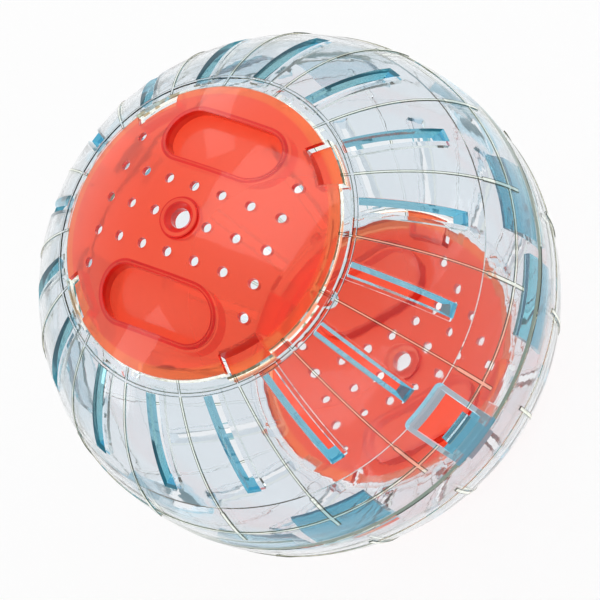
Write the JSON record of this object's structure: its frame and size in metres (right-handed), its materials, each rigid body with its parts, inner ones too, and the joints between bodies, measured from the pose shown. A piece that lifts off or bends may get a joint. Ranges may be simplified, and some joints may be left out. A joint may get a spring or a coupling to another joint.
{
  "type": "hamster ball",
  "caption": "Clear pet exercise ball: two snap-together half shells with ribs and vent slots, and a translucent twist-lock door over each pole.",
  "frame": {"origin": "centre of the ball, in the plane of the seam between the two half shells", "axes": "+Z runs along the axis of both doors, out through the hub of the front door; X and Y lie in the seam plane, with +X through the middle of a locating tongue"},
  "size_m": [0.19, 0.19, 0.1918],
  "materials": {
    "clear_shell": "clear polystyrene, pale blue-grey, polished",
    "red_door": "translucent red-orange polystyrene, polished"
  },
  "bodies": {
    "ball": {"front_shell": "clear_shell", "rear_shell": "clear_shell"},
    "front_door": {"front_door": "red_door"},
    "rear_door": {"rear_door": "red_door"}
  },
  "joints": [
    {"name": "front_door_twist", "type": "hinge", "parent": "ball", "child": "front_door", "pos_m": [0, 0, 0.09], "axis": [0, 0, 1], "range_deg": [-40, 0]},
    {"name": "rear_door_twist", "type": "hinge", "parent": "ball", "child": "rear_door", "pos_m": [0, 0, -0.09], "axis": [0, 0, -1], "range_deg": [-40, 0]}
  ]
}
